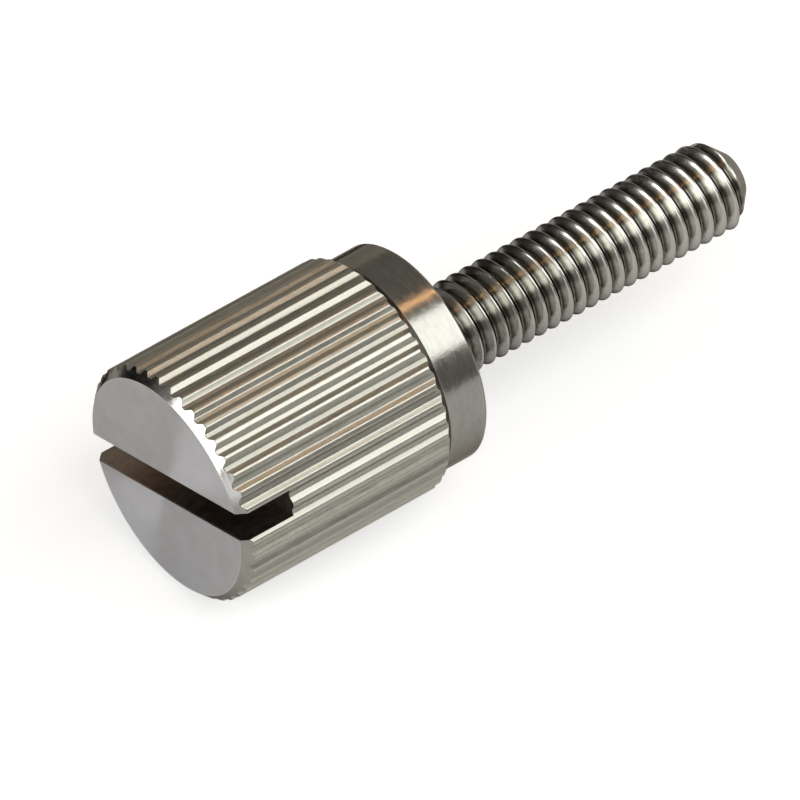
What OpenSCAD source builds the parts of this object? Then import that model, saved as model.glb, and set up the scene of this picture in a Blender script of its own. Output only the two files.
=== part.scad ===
// Rack mount screw: a thumb screw turned from bar, with a slotted and
// straight-knurled head, a plain collar and a metric shank.
//
// The screw lies on its knurl with its axis level along X. The origin is on
// the axis, in the plane where the collar seats on the panel: the head is at
// negative X and the tip at positive X. Lengths are in millimetres.

/* [Knurled head] */
// Diameter over the lands of the knurl
head_d = 15.9; // [15.2:0.1:22]
// Length of the knurled stretch, both end bevels included
knurl_len = 16.2; // [8:0.1:30]
// Width and depth of the 45 degree bevel round the slotted face
face_bevel = 0.6; // [0.2:0.05:1.5]

/* [Knurl] */
// Number of grooves, each a straight V cut along the head
groove_count = 42; // [24:2:56]
// Depth of a groove below the lands
groove_depth = 0.24; // [0.05:0.01:0.5]
// Width of the land left between two grooves
land_w = 0.34; // [0.1:0.01:0.8]

/* [Driver slot] */
// Width of the slot
slot_w = 1.9; // [0.8:0.1:4]
// Depth of the slot below the face
slot_depth = 3.8; // [1:0.1:7]
// Slope of the slot as the screw lies, in degrees from level
slot_turn = 18; // [0:1:90]

/* [Collar] */
// Diameter of the plain collar behind the knurl
collar_d = 14.6; // [8:0.1:15]
// Length of the collar, from the knurl's foot to the seat
collar_len = 2.9; // [0.5:0.1:10]
// Edge break round the seat
seat_bevel = 0.2; // [0.05:0.05:0.5]

/* [Shank] */
// Major diameter of the thread
thread_d = 5.95; // [3.5:0.05:8]
// Length of the shank, from the seat to the end of the tip
thread_len = 24.7; // [5:0.1:60]
// Length of the 45 degree point at the tip
tip_bevel = 1.35; // [0.2:0.05:1.6]

/* [Hidden] */

head_len = knurl_len + collar_len;
head_r = head_d / 2;
collar_r = collar_d / 2;
thread_r = thread_d / 2;

// The knurl's rear bevel falls at 45 degrees to the collar
rear_bevel = head_r - collar_r;

// Half a groove's width where it opens at the lands
groove_half_w = (PI * head_d / groove_count - land_w) / 2;

// How far a cutting shape passes the surface that it cuts
overcut = 0.5;
smooth = 96;

// Outline of the turned blank, as [radius, distance from the seat]
function blank_outline() = [
    [0, -head_len],
    [head_r - face_bevel, -head_len],
    [head_r, -head_len + face_bevel],
    [head_r, -collar_len - rear_bevel],
    [collar_r, -collar_len],
    [collar_r, -seat_bevel],
    [collar_r - seat_bevel, 0],
    [thread_r, 0],
    [thread_r, thread_len - tip_bevel],
    [thread_r - tip_bevel, thread_len],
    [0, thread_len]
];

// Turns a shape built round Z so that it lies round X, its +X side facing down
module lay_along_x() {
    rotate([0, 90, 0]) children();
}

module turned_blank() {
    lay_along_x() rotate_extrude($fn = smooth) polygon(blank_outline());
}

// One V-shaped bar with its point at the groove's root. Its sides keep the
// groove's slope on past the lands.
module groove_cutter() {
    root_r = head_r - groove_depth;
    reach = groove_depth + overcut;
    half_w = groove_half_w * reach / groove_depth;
    translate([0, 0, -head_len - overcut])
        linear_extrude(height = knurl_len + overcut)
            polygon([[root_r, 0], [root_r + reach, -half_w], [root_r + reach, half_w]]);
}

// The grooves run out through both end bevels. One points straight down, so
// the head lies on the two lands beside it.
module knurl_grooves() {
    lay_along_x()
        for (i = [0 : groove_count - 1])
            rotate([0, 0, i * 360 / groove_count]) groove_cutter();
}

// A saw cut right across the face, with a flat floor
module driver_slot() {
    rotate([-slot_turn, 0, 0])
        translate([-head_len - overcut, -head_r - overcut, -slot_w / 2])
            cube([slot_depth + overcut, head_d + 2 * overcut, slot_w]);
}

module screw() {
    color([0.72, 0.71, 0.67])
        difference() {
            turned_blank();
            knurl_grooves();
            driver_slot();
        }
}

screw();
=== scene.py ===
# %% [markdown]
# # A rack mount screw, turned from stainless bar
#
# The real part is a thumb screw that holds a panel in a rack. It is one solid: a knurled head that
# fingers can grip, a sawn slot for a driver, a plain collar that seats on the panel, and a fine
# thread. It could be pieced together from cylinders, but every edge would be razor sharp and every
# surface would shine alike. This lesson works each surface out as an array of points, gives each
# one the marks of the tool that made it, and sets the screw in a small studio.
#
# Lengths are worked in millimetres, as on a workshop drawing, and become metres when a mesh is
# stored, because Blender and the measured frame both count in metres.

import math

import bmesh
import bpy
import numpy as np
from mathutils import Matrix, Vector


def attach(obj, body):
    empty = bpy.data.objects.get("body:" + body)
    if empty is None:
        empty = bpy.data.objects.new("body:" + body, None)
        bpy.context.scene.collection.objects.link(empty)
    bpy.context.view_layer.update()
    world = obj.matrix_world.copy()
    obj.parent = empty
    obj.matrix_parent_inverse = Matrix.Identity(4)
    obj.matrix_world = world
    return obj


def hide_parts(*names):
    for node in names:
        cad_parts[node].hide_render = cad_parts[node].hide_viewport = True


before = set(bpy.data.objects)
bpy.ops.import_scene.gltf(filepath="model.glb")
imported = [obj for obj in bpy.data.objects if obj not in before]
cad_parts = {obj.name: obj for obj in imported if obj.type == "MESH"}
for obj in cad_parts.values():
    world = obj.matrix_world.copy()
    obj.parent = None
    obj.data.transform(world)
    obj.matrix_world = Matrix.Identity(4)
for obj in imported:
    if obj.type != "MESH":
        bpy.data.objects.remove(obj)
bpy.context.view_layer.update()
MM = 0.001
print("nodes:", sorted(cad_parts))

# %% [markdown]
# ## The sizes
#
# The axis of the screw lies along X. The collar's seat is the plane X = 0, the slotted face looks
# towards -X and the thread points towards +X. Angles are measured round the axis, from +Y towards
# +Z. The sizes are the measured frame's own, so the detailed mesh fills the same space.

# %% Sizes of the screw, in millimetres
FACE_X = -19.1
FACE_R = 7.35
HEAD_R = 7.949
BEVEL = 0.6
KNURL_END_X = -2.9
COLLAR_R = 7.3
SEAT_BEVEL = 0.2
SEAT_R = COLLAR_R - SEAT_BEVEL
LOWEST_Z = -7.94
print("head", 2 * HEAD_R, "mm across and", -FACE_X, "mm long")

# %% [markdown]
# ## From arrays to a mesh
#
# Every surface here ends as an array of points and a list of faces. One helper stores them, and
# another joins the points of a grid into four-sided faces. A face also keeps the number of its
# finish, so that one solid can show a turned, a knurled and a sawn surface side by side.


# %% Helpers for meshes
def store_mesh(name, points, faces, finish_numbers):
    """Stores points in millimetres as a mesh in metres. Each face keeps its finish's number."""
    mesh = bpy.data.meshes.new(name)
    mesh.from_pydata((points * MM).tolist(), [], faces)
    mesh.polygons.foreach_set("material_index", np.asarray(finish_numbers, np.int32))
    mesh.polygons.foreach_set("use_smooth", np.ones(len(faces), bool))
    mesh.validate()
    item = bpy.data.objects.new(name, mesh)
    bpy.context.scene.collection.objects.link(item)
    return item


def ring_faces(rows, columns):
    """Faces of a tube of points: each joins a point to the next one round its row and to the two
    points above them, and the last column joins the first."""
    row, column = np.meshgrid(np.arange(rows - 1), np.arange(columns), indexing="ij")
    beside = (column + 1) % columns
    low = row * columns
    high = low + columns
    faces = np.stack([low + column, high + column, high + beside, low + beside], -1)
    return faces.reshape(-1, 4)


print("faces of a tube of 3 rows by 4 points:", len(ring_faces(3, 4)))

# %% The finishes, by number
FACED, TURNED, KNURLED, THREADED, SAWN = range(5)
print("finishes are numbered from", FACED, "to", SAWN)

# %% [markdown]
# ## The knurl
#
# A straight knurl is a ring of shallow grooves along the head, with a narrow land of the bar left
# between each two. The tool's worn teeth leave a narrow floor in each groove. Forty-two wedges
# could be cut out of a cylinder, but the edges would be sharper than any tool leaves them. Here
# the radius is a function of the angle: the groove's radius and the bar's are blended, so that
# the land rolls over into the groove's side.
#
# No two grooves of a real knurl are alike, and the eye notices when they are. Each groove is a
# hundredth of a millimetre too deep or too shallow, a little out of place, and wanders slightly
# along its length.

# %% Where the points lie round the head
STRAIGHT_DOWN = -math.pi / 2
GROOVES = 42
GROOVE_STEP = 2 * math.pi / GROOVES
half_groove = np.array([0.0, 0.08, 0.115, 0.15, 0.19, 0.3, 0.38, 0.41, 0.44, 0.5]) / HEAD_R
one_groove = np.concatenate([-half_groove[:0:-1], half_groove, [GROOVE_STEP / 2]])
groove_number = np.repeat(np.arange(GROOVES), len(one_groove))
off_groove = np.tile(one_groove, GROOVES)
head_angle = STRAIGHT_DOWN + groove_number * GROOVE_STEP + off_groove
print(len(head_angle), "points round the head,", len(one_groove), "for each groove")

# %% How each groove differs
USUAL_DEPTH_ERROR = 0.010
USUAL_PLACE_ERROR = 0.008
chance = np.random.default_rng(7)
depth_error = chance.normal(0, USUAL_DEPTH_ERROR, GROOVES)
place_error = chance.normal(0, USUAL_PLACE_ERROR, GROOVES) / HEAD_R
wave_start = chance.uniform(0, 2 * math.pi, GROOVES)
waves_per_mm = chance.uniform(0.03, 0.1, GROOVES)
print("depth errors in mm:", depth_error.min().round(3), "to", depth_error.max().round(3))

# %% The radius round the knurl
GROOVE_ROOT_R = 7.71
GROOVE_SLOPE = 0.80
HALF_FLOOR = 0.13 / HEAD_R
ROOT_ROUNDING = 0.003
LAND_ROUNDING = 0.006
WANDER = 0.005


def knurl_radius(x):
    """Radius at a distance x along the head, one for each point round it. Past the groove's floor,
    its side is a straight line across the axis, root / (cosine of the angle past the floor - slope
    * its sine). The result is the soft lesser of that line and the bar: bar - k * log(1 +
    exp((bar - line) / k)), where k is the land's rounding."""
    wander = WANDER * np.sin(wave_start + 2 * math.pi * waves_per_mm * x)
    root = GROOVE_ROOT_R + (depth_error + wander)[groove_number]
    angle = off_groove - place_error[groove_number]
    past_floor = np.maximum(np.abs(angle) - HALF_FLOOR, 0)
    sine = np.sqrt(np.sin(past_floor) ** 2 + ROOT_ROUNDING**2) - ROOT_ROUNDING
    line = root / (np.cos(past_floor) - GROOVE_SLOPE * sine)
    return HEAD_R - LAND_ROUNDING * np.log1p(np.exp((HEAD_R - line) / LAND_ROUNDING))


middle_radius = knurl_radius((FACE_X + KNURL_END_X) / 2)
print("radius from", middle_radius.min().round(3), "to", middle_radius.max().round(3))

# %% [markdown]
# ## The head
#
# The head is one sheet of points. Each line of points starts at the rim of the slotted face, climbs
# the 45 degree bevel until it meets its own radius, runs along the knurl, and goes down the rear
# bevel and along the collar to the seat. A line in a groove leaves the bevel sooner than a line on
# a land, and that alone gives the zigzag edge of a bevelled knurl.
#
# A corner with no width never catches the light. A Bevel modifier could round the corners, but its
# width would vary where the zigzag crowds the edges, so each corner is cut here, by a small curve
# with a guard point on either side that keeps the surfaces beside it straight.


# %% Rounding a corner
GUARD = 1.6


def rounded(before, corner, after, reach):
    """Five points that turn a corner. Start and end lie one reach from it, and the middle is half
    the corner plus a quarter of each. The guard points lie a little further out."""
    back = (before - corner) / np.linalg.norm(before - corner, axis=-1, keepdims=True)
    on = (after - corner) / np.linalg.norm(after - corner, axis=-1, keepdims=True)
    start = corner + reach * back
    end = corner + reach * on
    middle = 0.5 * corner + 0.25 * (start + end)
    guard = GUARD * reach
    return [corner + guard * back, start, middle, end, corner + guard * on]


def at(x, radius):
    """One (x, radius) pair for each point round the head."""
    many = len(head_angle)
    return np.stack([np.broadcast_to(x, many), np.broadcast_to(radius, many)], -1) * 1.0


square = rounded(np.array([-1.0, 0.0]), np.zeros(2), np.array([0.0, 1.0]), reach=0.03)
print("a square corner is cut back by", np.linalg.norm(square[2]).round(3), "mm")

# %% The corners of the head's outline
CAP = 1.0
front_r = knurl_radius(FACE_X + BEVEL)
rear_r = knurl_radius(KNURL_END_X - BEVEL)
inside_face = at(FACE_X, FACE_R - CAP)
face_rim = at(FACE_X, FACE_R)
knurl_start = at(FACE_X + front_r - FACE_R, front_r)
knurl_end = at(KNURL_END_X - rear_r + COLLAR_R, rear_r)
collar_foot = at(KNURL_END_X, COLLAR_R)
collar_edge = at(-SEAT_BEVEL, COLLAR_R)
seat_rim = at(0.0, SEAT_R)
inside_seat = at(0.0, SEAT_R - CAP)
print("the front bevel is", np.ptp(knurl_start[:, 0]).round(3), "mm narrower in a groove")

# %% The rows of the head
KNURL_ROWS = 15
EDGE_REACH = 0.03
KNURL_REACH = 0.035
FOOT_REACH = 0.04
knurl_rows = []
for share in np.linspace(0, 1, KNURL_ROWS)[1:-1]:
    x_here = knurl_start[:, 0] + share * (knurl_end[:, 0] - knurl_start[:, 0])
    x_middle = FACE_X + BEVEL + share * (KNURL_END_X - FACE_X - 2 * BEVEL)
    knurl_rows.append(at(x_here, knurl_radius(x_middle)))
parts = [
    (rounded(inside_face, face_rim, knurl_start, EDGE_REACH), [FACED] * 2 + [TURNED] * 3),
    (rounded(face_rim, knurl_start, knurl_end, KNURL_REACH), [TURNED] * 2 + [KNURLED] * 3),
    (knurl_rows, [KNURLED] * len(knurl_rows)),
    (rounded(knurl_start, knurl_end, collar_foot, KNURL_REACH), [KNURLED] * 2 + [TURNED] * 3),
    (rounded(knurl_end, collar_foot, collar_edge, FOOT_REACH), [TURNED] * 5),
    (rounded(collar_foot, collar_edge, seat_rim, EDGE_REACH), [TURNED] * 5),
    (rounded(collar_edge, seat_rim, inside_seat, EDGE_REACH), [TURNED] * 2 + [FACED] * 3),
]
outline = np.stack([row for rows, _ in parts for row in rows])
row_finish = [number for _, numbers in parts for number in numbers]
print(len(outline), "rows from the face to the seat")

# %% The head as a closed solid
around = len(head_angle)
head_points = np.stack(
    [
        outline[..., 0],
        outline[..., 1] * np.cos(head_angle),
        outline[..., 1] * np.sin(head_angle),
    ],
    -1,
).reshape(-1, 3)
face_ring = list(range(around))
seat_ring = list(range(len(head_points) - around, len(head_points)))[::-1]
head = store_mesh(
    "head",
    head_points,
    ring_faces(len(outline), around).tolist() + [face_ring, seat_ring],
    np.repeat(row_finish[:-1], around).tolist() + [FACED, FACED],
)
print("head:", len(head.data.vertices), "points,", len(head.data.polygons), "faces")

# %% [markdown]
# ## The thread
#
# A thread is a profile that climbs one pitch in each turn. The Screw modifier could sweep it, and
# would leave open ends that are awkward to close. Rings across the axis would have to be very close
# to follow the slope. So the grid is skewed: every row of points climbs with the helix, and the end
# of a row meets the start of the row one turn on. The crest is then an unbroken line of points.

# %% The thread's profile
PITCH = 1.0
THREAD_R = 2.975
THREAD_DEPTH = 0.60
HALF_CREST = 0.05
HALF_ROOT = 0.07
EDGE_ROUNDING = 0.045
PROFILE_POINTS = 2000
across_pitch = np.linspace(-0.5, 0.5, PROFILE_POINTS + 1)[:-1]
side_width = 0.5 - HALF_CREST - HALF_ROOT
cut_profile = np.clip((np.abs(across_pitch) - HALF_CREST) / side_width, 0, 1)
blur = np.exp(-0.5 * (across_pitch / EDGE_ROUNDING) ** 2)
soft_profile = np.fft.ifft(np.fft.fft(cut_profile) * np.fft.fft(np.fft.ifftshift(blur))).real
soft_profile = (soft_profile - soft_profile.min()) / np.ptp(soft_profile)
print("half depth is reached", across_pitch[soft_profile < 0.5].max().round(3), "from the crest")

# %% [markdown]
# A die leaves crests and roots slightly rounded. A running average of the sharp profile, weighted
# by a bell curve, gives that rounding everywhere at once. The end of the shank is a 45 degree point
# that cuts the thread away, so the radius is the lesser of the profile's and the point's.

# %% The thread's radius
TIP_X = 24.7
TIP_R = 1.625


def thread_radius(turns_from_crest, x):
    """Crest radius - depth * profile, and never more than the point, tip radius + tip x - x."""
    share = (turns_from_crest + 0.5) % 1.0 - 0.5
    cut = THREAD_DEPTH * np.interp(share, across_pitch, soft_profile, period=1.0)
    return np.minimum(THREAD_R - cut, TIP_R + np.maximum(TIP_X - x, 0))


print("radius at a crest and at a root:", thread_radius(np.array([0, 0.5]), 0).round(3))

# %% The skewed grid
HIDDEN_END_X = -1.5
CREST_X = 18.65
CREST_ANGLE = math.radians(36.8)
THREAD_COLUMNS = 84
SPARE_TURNS = 4
TURNS_BEFORE_END = 1.6
SNAP_TO_TIP = 0.047
half_steps = [0, 0.035, 0.07, 0.12, 0.2, 0.28, 0.36, 0.41, 0.455]
row_steps = np.array(half_steps + [0.5] + [1 - step for step in half_steps[:0:-1]])
turns = int(TIP_X - HIDDEN_END_X) + SPARE_TURNS
row_turn = (np.arange(turns)[:, None] + row_steps).reshape(-1, 1)
column_turn = np.arange(THREAD_COLUMNS) / THREAD_COLUMNS
crest_at_zero = CREST_X - PITCH * CREST_ANGLE / (2 * math.pi)
whole_turns = math.ceil(crest_at_zero - HIDDEN_END_X + TURNS_BEFORE_END)
path_x = crest_at_zero - PITCH * whole_turns + PITCH * (row_turn + column_turn)
path_x = np.where(np.abs(path_x - TIP_X) < SNAP_TO_TIP, TIP_X, path_x)
print("grid:", len(row_turn), "rows by", THREAD_COLUMNS, "columns")

# %% [markdown]
# The grid runs on past both ends. There the points stay in the end's plane while their radius
# shrinks to nothing, which closes the tip with a flat face, and closes the other end inside the
# head where nobody sees it. Points that all but reach the tip's plane are moved into it, because
# a sliver of a face there would shade badly. Points that meet on the axis are merged later.
#
# A face has the turned finish if it lies in the tip's plane, or if the point cuts the thread away
# at all four of its corners.

# %% The thread's points
CLOSING = 0.9
past_end = np.maximum(path_x - TIP_X, 0) + np.maximum(HIDDEN_END_X - path_x, 0)
thread_x = np.clip(path_x, HIDDEN_END_X, TIP_X)
thread_r = thread_radius(np.broadcast_to(row_turn, path_x.shape), thread_x)
thread_r = np.maximum(thread_r * (1 - past_end / CLOSING), 0)
thread_angle = 2 * math.pi * np.broadcast_to(column_turn, path_x.shape)
thread_points = np.stack(
    [thread_x, thread_r * np.cos(thread_angle), thread_r * np.sin(thread_angle)], -1
).reshape(-1, 3)
print("thread from x =", thread_x.min(), "to", thread_x.max())

# %% The thread's faces
ON_POINT = 0.001
row, column = np.meshgrid(np.arange(len(row_turn) - 1), np.arange(THREAD_COLUMNS), indexing="ij")
last = column == THREAD_COLUMNS - 1
beside_row = row + np.where(last, len(row_steps), 0)
beside_column = np.where(last, 0, column + 1)
here = row * THREAD_COLUMNS + column
beside = beside_row * THREAD_COLUMNS + beside_column
corners = [here, here + THREAD_COLUMNS, beside + THREAD_COLUMNS, beside]
thread_faces = np.stack(corners, -1)[beside_row + 1 < len(row_turn)]
at_point = thread_r > TIP_R + TIP_X - thread_x - ON_POINT
on_point = at_point.ravel()[thread_faces].all(-1)
on_tip = thread_points[thread_faces, 0].min(-1) >= TIP_X
thread_finish = np.where(on_point | on_tip, TURNED, THREADED)
thread = store_mesh("thread", thread_points, thread_faces.tolist(), thread_finish)
print("thread:", len(thread_faces), "faces")

# %% [markdown]
# ## The saw
#
# The driver's slot is one pass of a slitting saw, with a flat floor and a slope of eighteen degrees
# as the screw lies. Faces could be left out of the head and the walls built in their place, but
# the slot crosses the grooves, so a bar in the shape of the cut is taken away from the head. Its
# mouth flares by a few hundredths of a millimetre, like the edge break that deburring leaves.

# %% The bar that cuts the slot
SLOT_WIDTH = 1.9
SLOT_FLOOR_X = -15.3
SLOT_TURN = math.radians(-18)
MOUTH = 0.04
OVERCUT = 0.5
HALF_BAR = 9.0
half = SLOT_WIDTH / 2
bar_outline = np.array(
    [
        [SLOT_FLOOR_X, -half],
        [SLOT_FLOOR_X, half],
        [FACE_X + MOUTH, half],
        [FACE_X, half + MOUTH],
        [FACE_X - OVERCUT, half + MOUTH],
        [FACE_X - OVERCUT, -half - MOUTH],
        [FACE_X, -half - MOUTH],
        [FACE_X + MOUTH, -half],
    ]
)
along_slot = np.array([0, math.cos(SLOT_TURN), math.sin(SLOT_TURN)])
across_slot = np.array([0, -math.sin(SLOT_TURN), math.cos(SLOT_TURN)])
axis = np.array([1.0, 0, 0])
bar_end = bar_outline[:, :1] * axis + bar_outline[:, 1:] * across_slot
bar_points = np.concatenate([bar_end - HALF_BAR * along_slot, bar_end + HALF_BAR * along_slot])
sides = len(bar_outline)
bar_faces = ring_faces(2, sides).tolist()
bar_faces += [list(range(sides)), list(range(2 * sides - 1, sides - 1, -1))]
saw_bar = store_mesh("saw_bar", bar_points, bar_faces, np.full(len(bar_faces), SAWN))
print("the saw's bar:", len(bar_faces), "faces, slot", SLOT_FLOOR_X - FACE_X, "mm deep")


# %% Merge, close and turn faces outwards
MERGE_DISTANCE = 1e-7
SHORTEST_EDGE = 1e-6
MOST_SIDES = 4


def tidy(item):
    """Merges points that meet, turns the faces outwards, and splits the faces of many sides, so
    that no later step splits two of them along one line. Gives open edges and volume."""
    shell = bmesh.new()
    shell.from_mesh(item.data)
    bmesh.ops.remove_doubles(shell, verts=shell.verts, dist=MERGE_DISTANCE)
    bmesh.ops.dissolve_degenerate(shell, edges=shell.edges, dist=SHORTEST_EDGE)
    bmesh.ops.recalc_face_normals(shell, faces=shell.faces)
    many_sided = [face for face in shell.faces if len(face.verts) > MOST_SIDES]
    bmesh.ops.triangulate(shell, faces=many_sided, ngon_method="BEAUTY")
    open_edges = sum(not edge.is_manifold for edge in shell.edges)
    volume = round(shell.calc_volume() / MM**3, 1)
    shell.to_mesh(item.data)
    shell.free()
    return open_edges, volume


for item in (head, thread, saw_bar):
    print(item.name, "open edges and cubic millimetres:", tidy(item))

# %% [markdown]
# ## Shader sums in Python
#
# The pattern of a finish is a sum of masks and noises. Built by hand it is a wall of Math nodes, so
# one small class lets a socket be used in ordinary Python sums. Each sum adds its Math node.


# %% A socket that can be used in sums
class Wire:
    """One output of a node. Adding, multiplying and so on give the output of a new Math node."""

    def __init__(self, finish, socket):
        self.finish = finish
        self.socket = socket

    def out(self, name):
        """Another output of the same node."""
        return Wire(self.finish, self.socket.node.outputs[name])

    def sum(self, operation, first, second):
        """The output of a new Math node."""
        return self.finish.add("ShaderNodeMath", {"operation": operation}, {0: first, 1: second})

    def __add__(self, other):
        return self.sum("ADD", self, other)

    def __radd__(self, other):
        return self.sum("ADD", other, self)

    def __sub__(self, other):
        return self.sum("SUBTRACT", self, other)

    def __rsub__(self, other):
        return self.sum("SUBTRACT", other, self)

    def __mul__(self, other):
        return self.sum("MULTIPLY", self, other)

    def __rmul__(self, other):
        return self.sum("MULTIPLY", other, self)

    def __pow__(self, other):
        return self.sum("POWER", self, other)

    def __rpow__(self, other):
        return self.sum("POWER", other, self)

    def greater(self, other):
        """The greater of two values."""
        return self.sum("MAXIMUM", self, other)


print("reflected sums:", [name for name in vars(Wire) if name.startswith("__r")])

# %% [markdown]
# Every node comes from one method, `add`. It makes the node's settings first, because some of them
# change which sockets are in use, and then fills each socket with a number, a colour or a wire.
# The other methods are short names for nodes that most finishes need.


# %% A finish and its nodes
class Finish:
    """The node tree of one material, or of the room."""

    def __init__(self, owner):
        owner.use_nodes = True
        self.tree = owner.node_tree
        self.tree.nodes.clear()

    def add(self, kind, settings, sockets):
        """Adds a node, makes its settings, and fills or links its sockets, which are given by name
        or by number. Gives the node's first output in use, or None where it has no output."""
        node = self.tree.nodes.new(kind)
        for name, value in settings.items():
            setattr(node, name, value)
        in_use = [socket for socket in node.inputs if socket.enabled]
        for name, value in sockets.items():
            named = [socket for socket in in_use if socket.name == name]
            socket = named[0] if named else in_use[name]
            if isinstance(value, Wire):
                self.tree.links.new(value.socket, socket)
            elif socket.type == "RGBA":
                socket.default_value = (*value, 1)
            else:
                socket.default_value = value
        outputs = [Wire(self, socket) for socket in node.outputs if socket.enabled]
        return outputs[0] if outputs else None

    def vector(self, x, y, z):
        """Three numbers as one vector."""
        return self.add("ShaderNodeCombineXYZ", {}, {"X": x, "Y": y, "Z": z})

    def split(self, vector):
        """The three numbers of a vector."""
        x = self.add("ShaderNodeSeparateXYZ", {}, {"Vector": vector})
        return x, x.out("Y"), x.out("Z")

    def noise(self, x, y, z):
        """Noise about 0.5 whose lumps are about one unit of x, y and z across."""
        place = self.vector(x, y, z)
        settings = {"Vector": place, "Scale": 1.0, "Detail": 3.0}
        return self.add("ShaderNodeTexNoise", {}, settings)

    def rise(self, value, low, high):
        """A smooth step: 0 below low and 1 above high."""
        step = {"Value": value, "From Min": low, "From Max": high}
        return self.add("ShaderNodeMapRange", {"interpolation_type": "SMOOTHSTEP"}, step)

    def cloud(self, x, y, z):
        """Noise with its contrast raised, so that it fills the range from 0 to 1."""
        return self.rise(self.noise(x, y, z), 0.3, 0.7)

    def blend(self, share, first, second):
        """A colour between two colours."""
        colours = {"Factor": share, "A": first, "B": second}
        return self.add("ShaderNodeMix", {"data_type": "RGBA"}, colours)


print("a finish has:", [name for name in vars(Finish) if not name.startswith("_")])

# %% [markdown]
# ## What every steel finish has
#
# The same steel looks different on each surface, because each tool leaves its own marks. So one
# function builds the steel, and a finish hands it three patterns: the height of its tool marks, a
# tone that varies the colour and the gloss, and the wear, where handling has polished the metal
# and left it paler. On the faced end, the thread and the slot the tone also carries painted light
# and shade. A picture of brushed metal could be wrapped round the part instead, but it would
# stretch and show its seam. Patterns on Object coordinates have neither fault.
#
# In a pattern, a number that multiplies x, y or z is about how many lumps there are in each
# millimetre. The numbers that multiply noises in a height are millimetres.
#
# `edge` is the tint that metal takes where it is seen at a glancing angle. A film of oil or oxide
# makes it darker than plain steel's.


# %% A steel finish
ROUGHER_BY_TONE = 0.08
SMOOTHER_BY_WEAR = 0.06


def steel(name, low, high, worn, edge, gloss, marks):
    """Steel with colours low and high, and worn where it is polished. marks gives the height of the
    tool marks in millimetres, the tone and the wear. gloss is its roughness where it isn't worn."""
    material = bpy.data.materials.new(name)
    finish = Finish(material)
    place = finish.add("ShaderNodeTexCoord", {}, {}).out("Object")
    scaling = {"Vector": place, "Scale": 1 / MM}
    x, y, z = finish.split(finish.add("ShaderNodeVectorMath", {"operation": "SCALE"}, scaling))
    height, tone, wear = marks(finish, x, y, z)
    without_tone = gloss - ROUGHER_BY_TONE / 2
    shader = finish.add(
        "ShaderNodeBsdfPrincipled",
        {},
        {
            # The tone sets the colour here, so painted light and shade in a finish's tone end up in
            # its colour.
            "Base Color": finish.blend(wear, finish.blend(tone, low, high), worn),
            "Metallic": 1.0,
            "Specular Tint": edge,
            "Roughness": without_tone + ROUGHER_BY_TONE * tone - SMOOTHER_BY_WEAR * wear,
            "Normal": finish.add("ShaderNodeBump", {}, {"Height": height, "Distance": MM}),
        },
    )
    finish.add("ShaderNodeOutputMaterial", {}, {"Surface": shader})
    print(name, "has", len(finish.tree.nodes), "nodes")
    return material


print("wear takes up to", SMOOTHER_BY_WEAR, "off a finish's roughness")

# %% [markdown]
# ## The faced end
#
# A facing tool crosses the end of the bar while the bar turns, and leaves fine rings round the
# axis. A Wave texture would space them evenly, and a tool's rings are never even, so they are
# noise read by distance from the axis, which runs round the face without a seam. A fine grain lies
# over them, as a fine stone leaves, and keeps the face matt.
#
# Rings on a flat end are seen as a pale fan with two wings, like the one on a record. Rings this
# fine are narrower than a pixel and don't make that fan here, so a faint fan is painted into the
# tone: a painted highlight along one diameter, paler and a little rougher. The rim is paler where
# it has rubbed against other parts.


# %% Faced steel
PAINTED_FAN_ANGLE = math.radians(125)
PAINTED_FAN_Y = math.cos(PAINTED_FAN_ANGLE)
PAINTED_FAN_Z = math.sin(PAINTED_FAN_ANGLE)
PAINTED_FAN_EDGE = 0.72


def faced_marks(finish, x, y, z):
    """Rings by radius, the square root of y squared plus z squared, under a fine grain. The painted
    fan highlight rises with the squared cosine of the angle from one diameter, which is 1 along it."""
    radius = (y * y + z * z) ** 0.5
    rings = finish.noise(radius * 18, y * 0.3, z * 0.3)
    grain = finish.noise(x * 7, y * 7, z * 7)
    # Painted highlight: a pale fan along one diameter is painted into the tone, in place of the
    # light the rings would catch.
    along_painted_fan = (y * PAINTED_FAN_Y + z * PAINTED_FAN_Z) ** 2 * radius**-2
    painted_fan_highlight = finish.rise(along_painted_fan, PAINTED_FAN_EDGE, 1.0)
    mottle = finish.cloud(x * 0.7, y * 0.7, z * 0.7) * 0.2 + 0.15 * finish.cloud(y * 5, z * 5, x)
    tone = painted_fan_highlight * 0.65 + mottle
    wear = finish.rise(radius, FACE_R - 0.25, FACE_R + 0.05) * 0.4
    return rings * 0.030 + grain * 0.005, tone, wear


# high is the colour of the painted fan highlight and of the paler mottle.
faced_steel = steel(
    "faced_steel",
    low=(0.485, 0.485, 0.49),
    high=(0.70, 0.70, 0.735),
    worn=(0.62, 0.62, 0.62),
    edge=(0.8, 0.8, 0.8),
    gloss=0.36,
    marks=faced_marks,
)

# %% [markdown]
# ## The turned bevels and collar
#
# The bevels and the collar are cut by a tool that travels along the bar, so their rings lie side by
# side along X. The collar is the smoothest surface of the screw, because it has to bear flat
# on the panel, and its edge at the seat is polished by use.


# %% Turned steel
def turned_marks(finish, x, y, z):
    """Rings by distance along the axis, with faint lumps that soften the highlight. Wear rises
    with x beside the seat's bevel, and is full beyond it, on the thread's point too."""
    rings = finish.noise(x * 8, y * 0.12, z * 0.12)
    lumps = finish.noise(x * 2.5, y * 2.5, z * 2.5)
    tone = finish.cloud(x * 2.5, y * 1.2, z * 1.2) * 0.5 + 0.5 * finish.cloud(x * 9, y, z)
    wear = finish.rise(x, -SEAT_BEVEL - 0.25, -SEAT_BEVEL + 0.05) * 0.6
    return rings * 0.004 + lumps * 0.006, tone, wear


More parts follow.
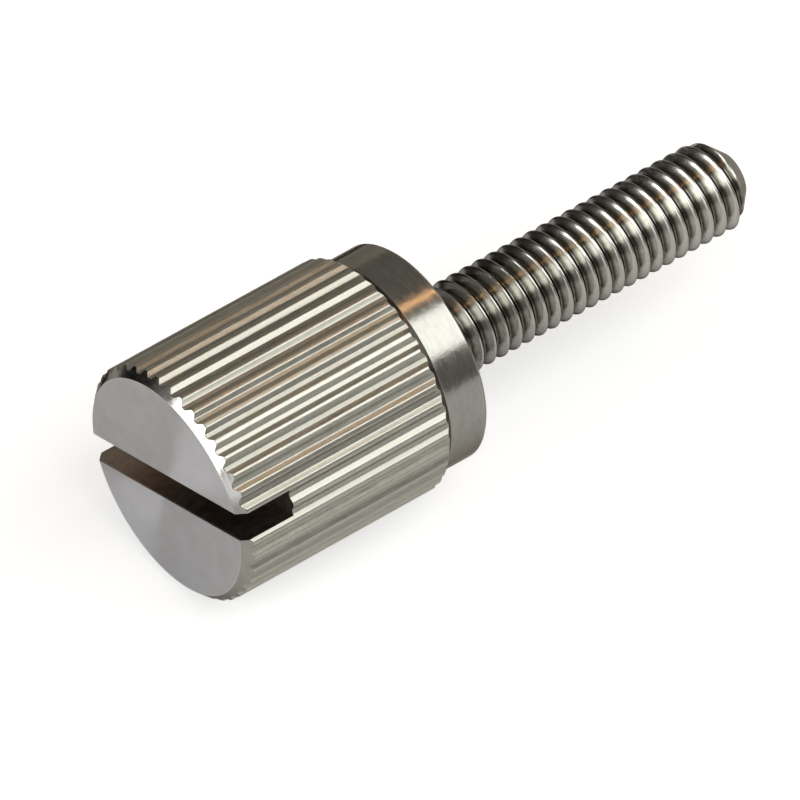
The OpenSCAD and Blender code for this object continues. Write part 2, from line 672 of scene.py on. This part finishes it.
turned_steel = steel(
    "turned_steel",
    low=(0.345, 0.345, 0.325),
    high=(0.42, 0.422, 0.40),
    worn=(0.48, 0.48, 0.46),
    edge=(0.45, 0.42, 0.38),
    gloss=0.19,
    marks=turned_marks,
)

# %% [markdown]
# ## The knurl's finish
#
# A knurling tool drags along the bar, so its streaks run along the grooves. It also chatters, which
# leaves faint steps across them. The lands are all that fingers touch, so they are polished and a
# little paler, while a thin film stays at the bottom of the grooves.


# %% Knurled steel
def knurl_marks(finish, x, y, z):
    """Streaks that are long in x and narrow in y and z, chatter that is the other way round, and
    wear by radius, from nothing below the lands to full on them."""
    radius = (y * y + z * z) ** 0.5
    streaks = finish.noise(x * 0.3, y * 5, z * 5)
    chatter = finish.noise(x * 4, y * 0.8, z * 0.8)
    tone = finish.cloud(x * 0.5, y * 3, z * 3) * 0.5 + 0.5 * finish.cloud(x * 3, y * 5, z * 5)
    polished = 0.2 + 0.5 * finish.cloud(x * 0.8, y, z)
    wear = finish.rise(radius, HEAD_R - 0.089, HEAD_R - 0.004) * polished
    return streaks * 0.005 + chatter * 0.004, tone, wear


knurled_steel = steel(
    "knurled_steel",
    low=(0.395, 0.395, 0.355),
    high=(0.485, 0.485, 0.44),
    worn=(0.56, 0.56, 0.52),
    edge=(0.95, 0.9, 0.82),
    gloss=0.37,
    marks=knurl_marks,
)

# %% [markdown]
# ## The thread's finish
#
# The thread is brightest on its sides and a little greyer on its crests, where every nut has
# scuffed it. Its roots are painted dark: painted shade for the shade deep in the grooves. All
# three follow the distance from the axis, so the pattern stays in place all the way along the
# helix. Near the head the whole thread is painted darker, as painted shade where the head blocks
# the light.


# %% Threaded steel
def thread_marks(finish, x, y, z):
    """Scratches that run round the thread. The tone rises with radius from the root to half way
    up the side, which paints shade into the root, and rises along x, which paints shade near the
    head. Wear is at the crest alone."""
    radius = (y * y + z * z) ** 0.5
    scratches = finish.noise(x * 9, y * 0.4, z * 0.4)
    specks = finish.cloud(x * 5, y * 3, z * 3)
    # Painted shade: the thread is darker near the head, where the head blocks the light.
    painted_head_shade = 0.58 + 0.32 * finish.rise(x, 2.0, 21.0)
    # Painted shade: the roots are painted dark, where the grooves lie in shade.
    tone = finish.rise(radius, 2.4, 2.7) * painted_head_shade + 0.15 * specks
    wear = finish.rise(radius, 2.84, 2.95) * 0.8
    return scratches * 0.006, tone, wear


# low is the colour of the painted shade in the roots, high of the lit sides.
threaded_steel = steel(
    "threaded_steel",
    low=(0.13, 0.126, 0.11),
    high=(0.70, 0.698, 0.65),
    worn=(0.53, 0.53, 0.50),
    edge=(0.05, 0.045, 0.04),
    gloss=0.2,
    marks=thread_marks,
)

# %% [markdown]
# ## The sawn slot
#
# A slitting saw leaves a row of shallow arcs on the slot's walls. The saw is much larger than the
# slot, so they are all but straight and are taken as straight here. The walls are painted near
# black towards -y and pale brown towards +y: painted shade at one end and painted light at the
# other. Its mouth is polished by drivers.


# %% Sawn steel
def sawn_marks(finish, x, y, z):
    """Rows across the slot, painted light and shade that rise along y, and wear that rises towards
    the mouth.
    """
    rows = finish.noise(x * 5, y * 0.5, z * 0.5)
    # Painted light and shade: the tone rises along y, so one end of the slot is painted lit and the
    # other in shade.
    tone = finish.rise(y, -4.0, 7.0) * 0.75 + 0.25 * finish.cloud(x * 2, y * 2, z * 2)
    wear = finish.rise(0 - x, -FACE_X - 0.25, -FACE_X) * 0.5
    return rows * 0.02, tone, wear


# low is the colour of the painted shade in the slot, high of its painted light.
sawn_steel = steel(
    "sawn_steel",
    low=(0.16, 0.138, 0.125),
    high=(0.52, 0.44, 0.38),
    worn=(0.5, 0.48, 0.46),
    edge=(0.6, 0.5, 0.4),
    gloss=0.4,
    marks=sawn_marks,
)

# %% [markdown]
# ## One solid
#
# The real screw is one piece of steel. Shapes that only overlapped would look joined, but faces
# would stay hidden inside. So Boolean modifiers join the thread to the head and take the saw's bar
# away, with the exact solver, because the surfaces cross at shallow angles. The result is stored
# as a plain mesh, so nothing is left to be worked out later, and each face keeps its finish.


# %% Join and cut
def combine(base, tool, operation):
    """Makes the result of one Boolean the base's own mesh, and takes the tool away."""
    cut = base.modifiers.new("cut", "BOOLEAN")
    cut.object = tool
    cut.operation = operation
    cut.solver = "EXACT"
    solved = base.evaluated_get(bpy.context.evaluated_depsgraph_get())
    result = bpy.data.meshes.new_from_object(solved)
    base.modifiers.clear()
    base.data = result
    bpy.data.objects.remove(tool)


finishes = [faced_steel, turned_steel, knurled_steel, threaded_steel, sawn_steel]
for item in (head, thread, saw_bar):
    for material in finishes:
        item.data.materials.append(material)
combine(head, thread, "UNION")
combine(head, saw_bar, "DIFFERENCE")
screw = head
screw.name = screw.data.name = "turned_screw"
print("open edges and cubic millimetres:", tidy(screw))

# %% [markdown]
# Smooth shading hides the faces of the round surfaces, and would also smear light across real
# corners. Edges that turn by more than 38 degrees are therefore marked sharp. The piece then takes
# its place in the frame: it moves with the screw's body and stands for the measured solid.

# %% Shade the screw and place it in the frame
SHARP_ANGLE = math.radians(38)
screw.data.polygons.foreach_set("use_smooth", np.ones(len(screw.data.polygons), bool))
screw.data.set_sharp_from_angle(angle=SHARP_ANGLE)
screw.data.calc_loop_triangles()
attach(screw, "root")
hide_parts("screw")
print("triangles:", len(screw.data.loop_triangles))

# %% [markdown]
# ## The floor
#
# The floor is a sheet of pale paper, plain and matt, that shows the screw's soft shadow. Paper that
# is only lit never looks quite white beside its own shadow, and more light would wash out the
# screw. So the paper also glows, for the camera and for reflections only, and that glow lights
# nothing. Bright metal mirrors some of the glow, enough to show that it lies on pale paper.

# %% Paper floor
FLOOR_R = 900.0
FLOOR_SIDES = 96
PAPER_GREY = (0.55, 0.55, 0.55)
PAPER_GLOW = 0.6
MIRRORED_SHARE = 0.25
WHITE = (1.0, 1.0, 1.0)
turn = np.arange(FLOOR_SIDES) * 2 * math.pi / FLOOR_SIDES
floor_points = np.stack([FLOOR_R * np.cos(turn), FLOOR_R * np.sin(turn), 0 * turn + LOWEST_Z], -1)
floor = store_mesh("floor", floor_points, [list(range(FLOOR_SIDES))], [0])
pale_paper = bpy.data.materials.new("pale_paper")
paper = Finish(pale_paper)
camera_ray = paper.add("ShaderNodeLightPath", {}, {})
mirrored = camera_ray.out("Is Glossy Ray").greater(camera_ray.out("Is Transmission Ray"))
seen = camera_ray.greater(mirrored * MIRRORED_SHARE)
matt = paper.add("ShaderNodeBsdfDiffuse", {}, {"Color": PAPER_GREY})
glow = paper.add("ShaderNodeEmission", {}, {"Color": WHITE, "Strength": seen * PAPER_GLOW})
both = paper.add("ShaderNodeAddShader", {}, {0: matt, 1: glow})
paper.add("ShaderNodeOutputMaterial", {}, {"Surface": both})
floor.data.materials.append(pale_paper)
print("floor:", 2 * FLOOR_R / 1000, "m across at z =", LOWEST_Z, "mm")

# %% [markdown]
# ## The room
#
# Polished metal shows what is round it and little else, so a screw in an empty white room looks
# like plastic. The room is dim and slightly brown above the horizon, and that gives the steel its
# dark zones between the lamps. The camera itself sees a white room, whichever way it looks.

# %% Room
HORIZON = 0.012
BELOW_HORIZON = (0.7, 0.7, 0.7)
ABOVE_HORIZON = (0.185, 0.17, 0.15)
room_world = bpy.data.worlds.new("room")
bpy.context.scene.world = room_world
room = Finish(room_world)
_, _, upward = room.split(room.add("ShaderNodeTexCoord", {}, {}))
walls = room.blend(room.rise(upward, 0.0, HORIZON), BELOW_HORIZON, ABOVE_HORIZON)
direct = room.add("ShaderNodeLightPath", {}, {})
painted = {"Color": room.blend(direct, walls, WHITE), "Strength": 1.0}
background = room.add("ShaderNodeBackground", {}, painted)
room.add("ShaderNodeOutputWorld", {}, {"Surface": background})
print("room:", len(room.tree.nodes), "nodes")

# %% [markdown]
# ## The lamps
#
# Metal is lit with large soft boxes, placed by what each surface mirrors. A lamp that is twice as
# large and half as bright lights the floor alike but looks half as bright in the steel, so each
# lamp is given by how bright it looks, and its power follows from that and its area. The wide key
# box makes the bright band along the screw. The side box fills the front bevel, a faint one beside
# it carries the bevel's light on, and another from above softens the shadow. A narrow warm strip
# over the key's upper edge gives the thin copper line that sets off the band.


# %% Soft boxes
LAMP_DISTANCE = 600.0


def softbox(name, toward, down, width, height, radiance, colour):
    """A flat lamp seen from the screw in direction toward, with its height along down. Its power
    is radiance times pi times its area."""
    toward = Vector(toward).normalized()
    up = -(Vector(down) - Vector(down).dot(toward) * toward).normalized()
    side = up.cross(toward)
    lamp = bpy.data.lights.new(name, "AREA")
    lamp.shape = "RECTANGLE"
    lamp.size = width * MM
    lamp.size_y = height * MM
    lamp.energy = radiance * math.pi * lamp.size * lamp.size_y
    lamp.color = colour
    item = bpy.data.objects.new(name, lamp)
    bpy.context.scene.collection.objects.link(item)
    facing = Matrix((side, up, toward)).transposed().to_4x4()
    item.matrix_world = Matrix.Translation(toward * LAMP_DISTANCE * MM) @ facing
    print(name, "lamp:", round(lamp.energy, 2), "W")


level_down = (0, 0, -1)
round_axis = (0, -0.86, -0.51)
softbox(
    "key",
    toward=(0.4385, -0.4802, 0.7597),
    down=round_axis,
    width=900,
    height=411,
    radiance=2.32,
    colour=(1.0, 1.0, 0.96),
)
softbox(
    "side",
    toward=(-0.945, 0.08, 0.315),
    down=level_down,
    width=550,
    height=335,
    radiance=4.5,
    colour=(1.0, 1.0, 1.0),
)
softbox(
    "beside",
    toward=(-0.857, -0.515, 0.087),
    down=level_down,
    width=220,
    height=130,
    radiance=1.5,
    colour=(0.95, 0.95, 1.0),
)
softbox(
    "above",
    toward=(-0.25, -0.45, 0.86),
    down=(0.5, 0.6, -0.3),
    width=350,
    height=450,
    radiance=1.0,
    colour=(1.0, 1.0, 0.98),
)
softbox(
    "warm",
    toward=(0.4385, 0.0596, 0.8967),
    down=(0, -0.99, 0.04),
    width=900,
    height=30,
    radiance=4.6,
    colour=(1.0, 0.54, 0.24),
)

# %% [markdown]
# ## The cards
#
# Lamps alone leave the far edges of the metal pale, and the outline is lost against the paper.
# In a studio, dark cards stand just out of view, and the steel mirrors them as dark edges. A grey
# card stands behind the thread and the collar, and a black one curves round the far side of the
# slotted face. A low black card close behind the screw darkens the outline of the thread. Only
# reflections show the cards, so they throw no shadow and can be looked at from any side.


# %% Dark cards
CARD_POINTS = 40


def card(name, first, last, distance, height, colour):
    """A card that stands on the floor, bent round the screw from one bearing to another: the
    points are distance * cosine and distance * sine of the bearing."""
    bearing = np.radians(np.linspace(first, last, CARD_POINTS))
    foot = np.stack([distance * np.cos(bearing), distance * np.sin(bearing)], -1)
    foot = np.pad(foot, ((0, 0), (0, 1)), constant_values=LOWEST_Z)
    low = np.arange(CARD_POINTS - 1)
    faces = np.stack([low, low + 1, low + 1 + CARD_POINTS, low + CARD_POINTS], -1).tolist()
    points = np.concatenate([foot, foot + [0, 0, height]])
    item = store_mesh(name, points, faces, np.zeros(len(faces)))
    item.visible_camera = False
    item.visible_shadow = False
    item.visible_diffuse = False
    felt = bpy.data.materials.new(name)
    cloth = Finish(felt)
    matt = cloth.add("ShaderNodeBsdfDiffuse", {}, {"Color": colour})
    cloth.add("ShaderNodeOutputMaterial", {}, {"Surface": matt})
    item.data.materials.append(felt)
    print(name, "stands from", first, "to", last, "degrees")


black = (0.02, 0.02, 0.02)
card("grey_card", first=5, last=88, distance=62, height=28, colour=(0.43, 0.395, 0.35))
card("black_card", first=88, last=140, distance=64, height=44, colour=black)
card("low_card", first=40, last=140, distance=26, height=6, colour=black)

# %% [markdown]
# ## The camera
#
# The screw is seen from the front and above, from the side where the slotted face shows. A long
# lens from far away keeps parallel edges parallel. The camera could be turned by three angles one
# after another, but it is easier to follow three directions. Forward comes from the camera's
# bearing and its fall below the horizon, and a slight roll turns the other two about it.

# %% Camera
LOOKS_AT = Vector((-5.68, -5.71, 3.90)) * MM
DISTANCE = 1210.88 * MM
BEARING = math.radians(50.82)
FALL = math.radians(46.04)
ROLL = math.radians(1.4)
UP = Vector((0, 0, 1))
flat = Vector((math.cos(BEARING), math.sin(BEARING), 0))
forward = math.cos(FALL) * flat - math.sin(FALL) * UP
level = forward.cross(UP).normalized()
upright = level.cross(forward)
right = math.cos(ROLL) * level + math.sin(ROLL) * upright
above = math.cos(ROLL) * upright - math.sin(ROLL) * level
lens = bpy.data.cameras.new("camera")
lens.sensor_width = 36
lens.lens = 900
lens.clip_start = 0.01
lens.clip_end = 20
camera = bpy.data.objects.new("camera", lens)
bpy.context.scene.collection.objects.link(camera)
facing = Matrix((right, above, -forward)).transposed().to_4x4()
camera.matrix_world = Matrix.Translation(LOOKS_AT - DISTANCE * forward) @ facing
bpy.context.scene.camera = camera
bpy.context.scene.view_settings.view_transform = "Standard"
print("the camera looks along", [round(part, 3) for part in forward])

# %% [markdown]
# The detailed mesh must not be larger than the measured solid.
